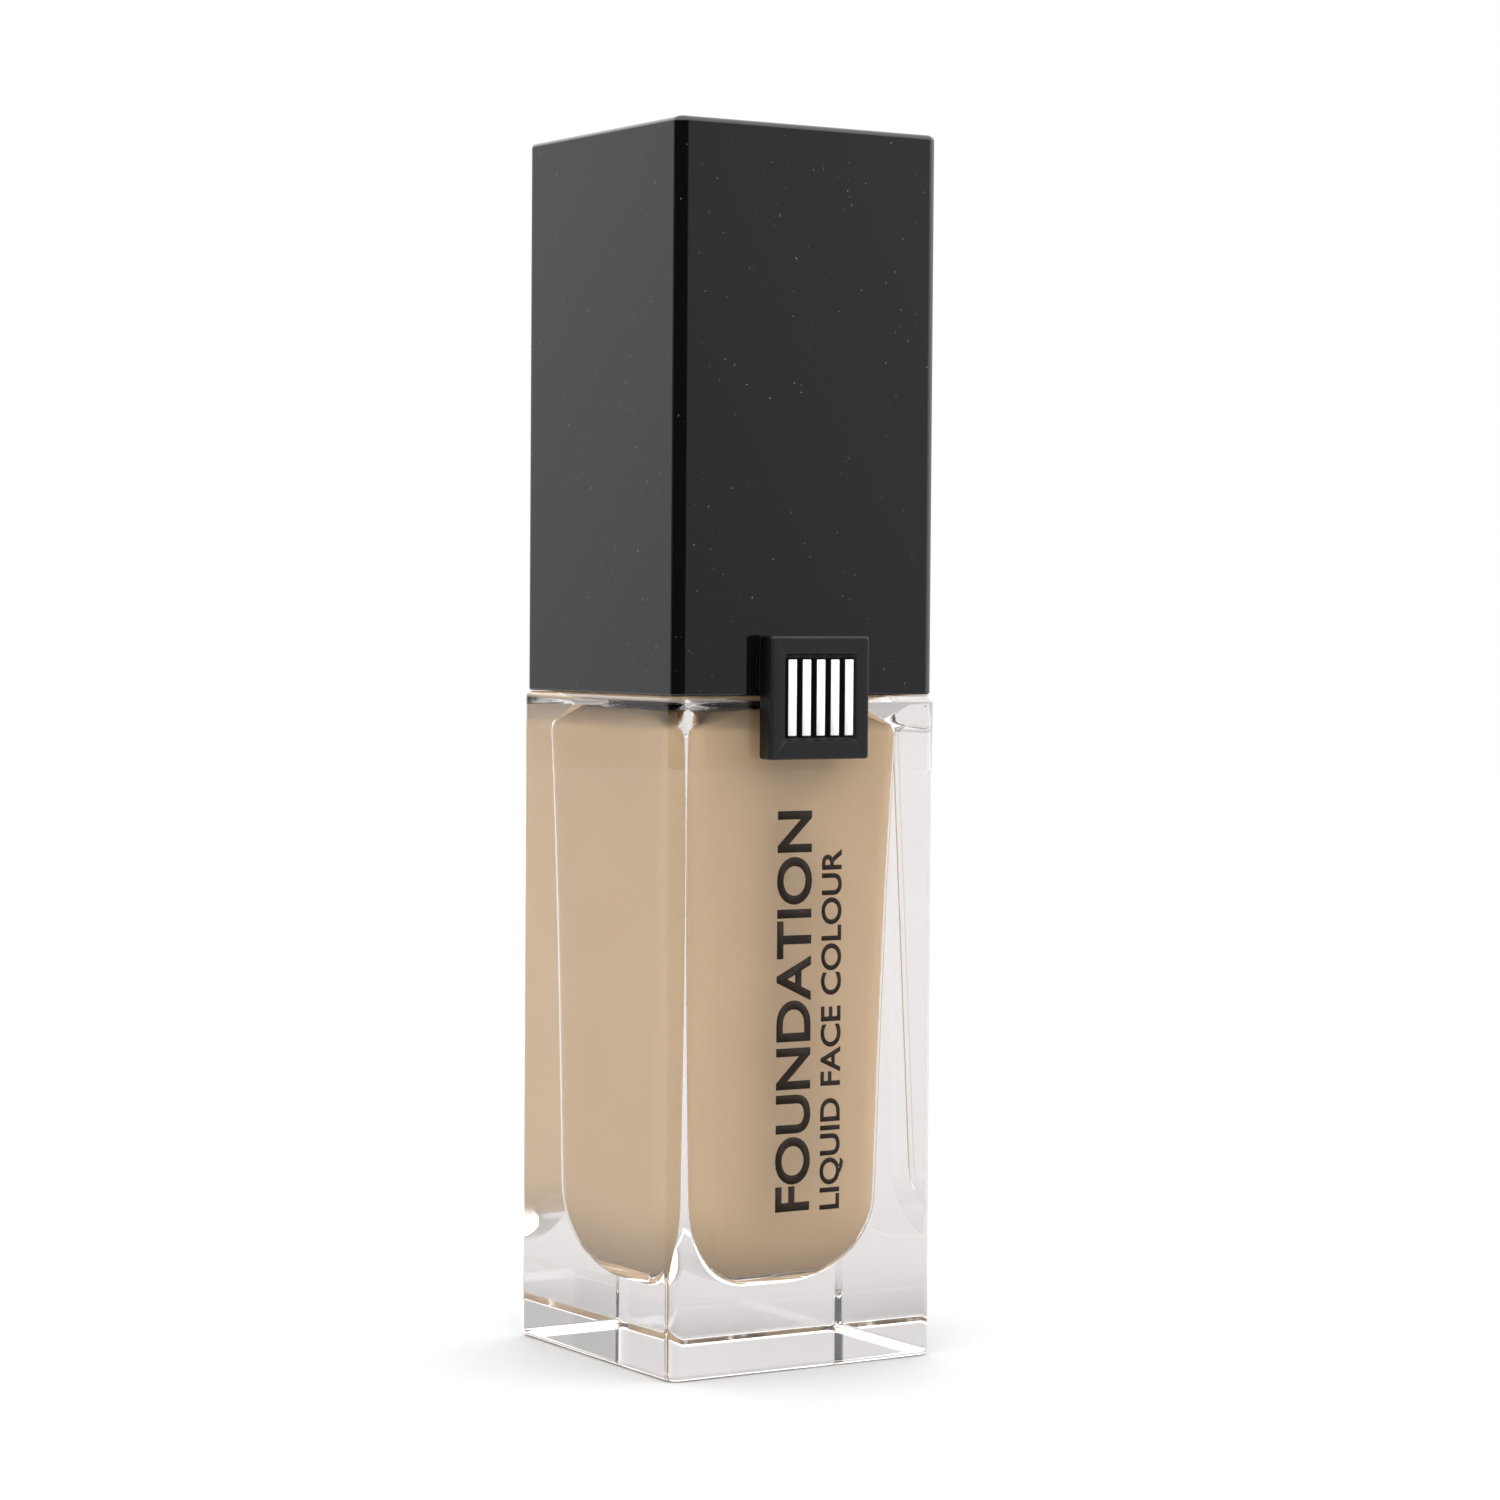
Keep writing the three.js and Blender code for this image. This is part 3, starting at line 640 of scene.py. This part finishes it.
def make_fixed_pump_parts():
    low, high = box_mm("neck_gasket")
    turned_piece("neck_gasket", "bottle", GASKET_RUBBER, [
        (NECK_BORE, low.z), (high.x, low.z), (high.x, high.z), (NECK_BORE, high.z),
    ])

    low, high = box_mm("pump_housing")
    chamber, body, spigot = 4, 5, 2.3
    floor = low.z + 9.3
    turned_piece("pump_housing", "bottle", CLEAR_PLASTIC, [
        (1.75, low.z),
        (spigot, low.z),
        (spigot, floor - 4.6),
        (body, floor - 1.6),
        (body, high.z - 1.2),
        (high.x, high.z - 1.2),
        (high.x, high.z),
        (chamber, high.z),
        (chamber, floor),
        (1.5, floor),
        (1.5, floor - 2.2),
        (0.7, floor - 3.2),
        (0.7, floor - 3.8),
        (1.75, floor - 4),
    ])

    low, high = box_mm("stem_guide")
    bore = box_mm("stem")[1].x + 0.3
    turned_piece("stem_guide", "bottle", WHITE_PLASTIC, [
        (bore, low.z),
        (chamber - 0.3, low.z),
        (chamber - 0.3, high.z - 2.6),
        (high.x, high.z - 2.6),
        (high.x, high.z - 1.8),
        (bore + 0.9, high.z - 1.8),
        (bore + 0.9, high.z),
        (bore, high.z),
    ])

    low, high = box_mm("closure_ring")
    inner, hook, hole = high.x - 0.6, NECK_RADIUS + 0.3, bore + 1.2
    turned_piece("closure_ring", "bottle", WHITE_PLASTIC, [
        (hook, low.z),
        (high.x, low.z),
        (high.x, high.z),
        (hole, high.z),
        (hole, high.z - 0.8),
        (inner, high.z - 0.8),
        (inner, low.z + 3.1),
        (hook, low.z + 2.7),
    ])

    low, high = box_mm("pump_collar")
    inner, hole = high.x - 0.8, box_mm("actuator_cover")[1].x + 0.4
    turned_piece("pump_collar", "bottle", GLOSS_BLACK, [
        (inner, low.z),
        (high.x, low.z),
        (high.x, high.z),
        (hole, high.z),
        (hole, high.z - 1),
        (inner, high.z - 1),
    ], radius=0.45)
    dress("ball_retainer", WHITE_PLASTIC)
    dress("dip_tube", CLEAR_PLASTIC)


def make_moving_pump_parts():
    low, high = box_mm("valve_pin")
    turned_piece("valve_pin", "plunger", WHITE_PLASTIC, [
        (0, low.z),
        (high.x, low.z),
        (high.x, low.z + 0.8),
        (2.4, low.z + 1.7),
        (1.2, low.z + 2.1),
        (1.2, high.z),
        (0, high.z),
    ])

    low, high = box_mm("piston")
    lip, waist, bore = high.x, high.x - 0.45, 1.75
    turned_piece("piston", "piston", WHITE_PLASTIC, [
        (bore, low.z + 0.5),
        (waist, low.z + 0.5),
        (lip - 0.15, low.z),
        (lip, low.z),
        (lip, low.z + 0.8),
        (waist, low.z + 1.1),
        (waist, high.z - 0.9),
        (lip, high.z - 0.6),
        (lip, high.z),
        (lip - 0.15, high.z),
        (waist, high.z - 0.4),
        (bore, high.z - 0.4),
    ], radius=0.1)

    low, high = box_mm("stem")
    turned_piece("stem", "push_head", WHITE_PLASTIC, [
        (1.5, low.z), (high.x, low.z), (high.x, high.z), (1.5, high.z),
    ])

    low, high = box_mm("inlet_ball")
    centre = (0, (low.z + high.z) / 2)
    ball = arc(centre, high.x, -90, 90, 24)
    ball[0], ball[-1] = (0, low.z), (0, high.z)
    turned_piece("inlet_ball", "inlet_valve", STEEL, ball, radius=0, sides=48)


def make_spring():
    """A round-wire coil down from the valve pin's foot."""
    low, high = box_mm("return_spring")
    wire, turns, sides = 0.35, 5.5, 12
    coil_radius = high.x - wire
    pitch_rise = high.z - low.z - 2 * wire
    steps = round(turns * 36)
    outlines = []
    for i in range(steps + 1):
        t = i / steps
        angle = 2 * math.pi * turns * t
        out = Vector((math.cos(angle), math.sin(angle), 0))
        middle = out * coil_radius + Vector((0, 0, low.z + wire + pitch_rise * t))
        section = []
        for j in range(sides):
            around = 2 * math.pi * j / sides
            section.append(middle + out * wire * math.cos(around) - Vector((0, 0, wire * math.sin(around))))
        outlines.append(section)
    points, faces = loft(outlines)
    spring = mesh_object("return_spring_look", points, faces, "plunger", STEEL)
    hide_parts("return_spring")
    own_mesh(spring)


def make_push_head():
    low, high = box_mm("actuator_cover")
    inner, nozzle_z = high.x - 0.8, low.z + 7.6
    turned_piece("actuator_cover", "push_head", GLOSS_BLACK, [
        (inner, low.z),
        (high.x, low.z),
        (high.x, high.z),
        (0, high.z),
        (0, high.z - 1),
        (inner, high.z - 1),
    ], radius=0.7)

    low, high = box_mm("nozzle_insert")
    tail, reach, outer = -high.y, -low.y, high.x
    profile = filleted([
        (0.8, tail),
        (outer, tail),
        (outer, reach - 1.2),
        (outer - 0.3, reach - 0.3),
        (outer - 0.6, reach),
        (1.1, reach),
        (0.8, reach - 0.6),
    ], 0.2)
    points, faces = turn(profile, 64)
    laid = [(x, -z, nozzle_z + y) for x, y, z in points]
    nozzle = mesh_object("nozzle_insert_look", laid, faces, "push_head", GLOSS_BLACK)
    keep_flats_flat(nozzle)
    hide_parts("nozzle_insert")
    dress("actuator_core", SATIN_BLACK)


# ---- floor, light and camera ----


def make_floor():
    """A pale round floor, far wider than the object."""
    radius, steps = 1500, 96
    points = [(0, 0, FLOOR_TOP)]
    faces = []
    for i in range(steps):
        angle = 2 * math.pi * i / steps
        points.append((radius * math.cos(angle), radius * math.sin(angle), FLOOR_TOP))
        faces.append((0, i + 1, (i + 1) % steps + 1))
    mesh = bpy.data.meshes.new("floor")
    mesh.from_pydata([Vector(p) * MM for p in points], [], faces)
    paper = material("floor_paper", Roughness=0.9, Specular_IOR_Level=0.1)
    stops = [(0.3, (0.4, 0.4, 0.4)), (0.7, (0.42, 0.42, 0.42))]
    feed(paper, ramp(paper, noise(paper, 3), stops), "Base Color")
    mesh.materials.append(paper)
    floor = bpy.data.objects.new("floor", mesh)
    bpy.context.scene.collection.objects.link(floor)


def wall_azimuth(nodes, links, split):
    """The direction's azimuth as a share of a turn, which starts and ends behind the bottle."""
    forward = nodes.new("ShaderNodeMath")
    forward.operation = "MULTIPLY"
    forward.inputs[1].default_value = -1
    links.new(split.outputs["Y"], forward.inputs[0])
    azimuth = nodes.new("ShaderNodeMath")
    azimuth.operation = "ARCTAN2"
    links.new(split.outputs["X"], azimuth.inputs[0])
    links.new(forward.outputs["Value"], azimuth.inputs[1])
    share = nodes.new("ShaderNodeMapRange")
    share.inputs["From Min"].default_value = -math.pi
    share.inputs["From Max"].default_value = math.pi
    links.new(azimuth.outputs["Value"], share.inputs["Value"])
    return share.outputs["Result"]


def between(nodes, links, split, low, high, easing="LINEAR"):
    """How far the direction has risen from low to high, both sines of an elevation."""
    rise = nodes.new("ShaderNodeMapRange")
    rise.interpolation_type = easing
    rise.inputs["From Min"].default_value = low
    rise.inputs["From Max"].default_value = high
    links.new(split.outputs["Z"], rise.inputs["Value"])
    return rise.outputs["Result"]


def brightness(nodes, links, factor, stops):
    """A grey ramp with (position, brightness) stops."""
    node = nodes.new("ShaderNodeValToRGB")
    elements = node.color_ramp.elements
    while len(elements) < len(stops):
        elements.new(0.5)
    for element, (position, light) in zip(elements, stops):
        element.position = position
        element.color = (light, light, light, 1)
    links.new(factor, node.inputs["Fac"])
    return node.outputs["Color"]


def mixed(nodes, links, factor, first, second):
    """A colour output that turns into a plain grey as the factor goes from 0 to 1."""
    node = nodes.new("ShaderNodeMix")
    node.data_type = "RGBA"
    node.inputs["B"].default_value = (second, second, second, 1)
    links.new(factor, node.inputs["Factor"])
    links.new(first, node.inputs["A"])
    return node.outputs["Result"]


def make_studio():
    """A soft white room whose walls differ in brightness, with a bright ceiling and a white backdrop."""
    world = bpy.data.worlds.new("studio")
    bpy.context.scene.world = world
    world.use_nodes = True
    nodes, links = world.node_tree.nodes, world.node_tree.links
    direction = nodes.new("ShaderNodeTexCoord")
    split = nodes.new("ShaderNodeSeparateXYZ")
    links.new(direction.outputs["Generated"], split.inputs["Vector"])

    stops = [((degrees + 180) / 360, light) for degrees, light in WALL_LIGHT]
    walls = brightness(nodes, links, wall_azimuth(nodes, links, split), stops)
    height = between(nodes, links, split, -0.04, 0.11)
    fade = brightness(nodes, links, height, [(0, 1.18), (0.1, 0.88), (1, 1.1)])
    shaded = nodes.new("ShaderNodeVectorMath")
    shaded.operation = "MULTIPLY"
    links.new(walls, shaded.inputs[0])
    links.new(fade, shaded.inputs[1])

    low, high = math.sin(math.radians(8)), math.sin(math.radians(28))
    overhead = between(nodes, links, split, low, high, "SMOOTHSTEP")
    room = mixed(nodes, links, overhead, shaded.outputs["Vector"], CEILING_LIGHT)
    seen = nodes.new("ShaderNodeLightPath")
    shown = mixed(nodes, links, seen.outputs["Is Camera Ray"], room, 1)
    links.new(shown, nodes["Background"].inputs["Color"])


def allow_long_light_paths():
    """Light bounces many times between the walls of thick glass before it gets out."""
    cycles = bpy.context.scene.cycles
    cycles.max_bounces = 32
    cycles.glossy_bounces = 24
    cycles.transmission_bounces = 24


def make_camera():
    """Stands to the front left, a little above the middle, and looks slightly down."""
    camera = bpy.data.objects.new("camera", bpy.data.cameras.new("camera"))
    camera.data.sensor_width = 36
    camera.data.lens = 96.15
    camera.data.clip_start = 0.01
    place = Matrix.Translation(Vector((-214.5, -349.2, 75.8)) * MM)
    yaw = Matrix.Rotation(math.radians(-31.893), 4, "Z")
    pitch = Matrix.Rotation(math.radians(87.959), 4, "X")
    roll = Matrix.Rotation(math.radians(0.405), 4, "Z")
    camera.matrix_world = place @ yaw @ pitch @ roll
    bpy.context.scene.collection.objects.link(camera)
    bpy.context.scene.camera = camera


make_camera()
allow_long_light_paths()
make_studio()
make_floor()
make_glass()
make_fill()
make_print()
make_cap()
make_liner()
make_badge()
make_fixed_pump_parts()
make_moving_pump_parts()
make_spring()
make_push_head()

bpy.context.scene.view_settings.view_transform = "Standard"
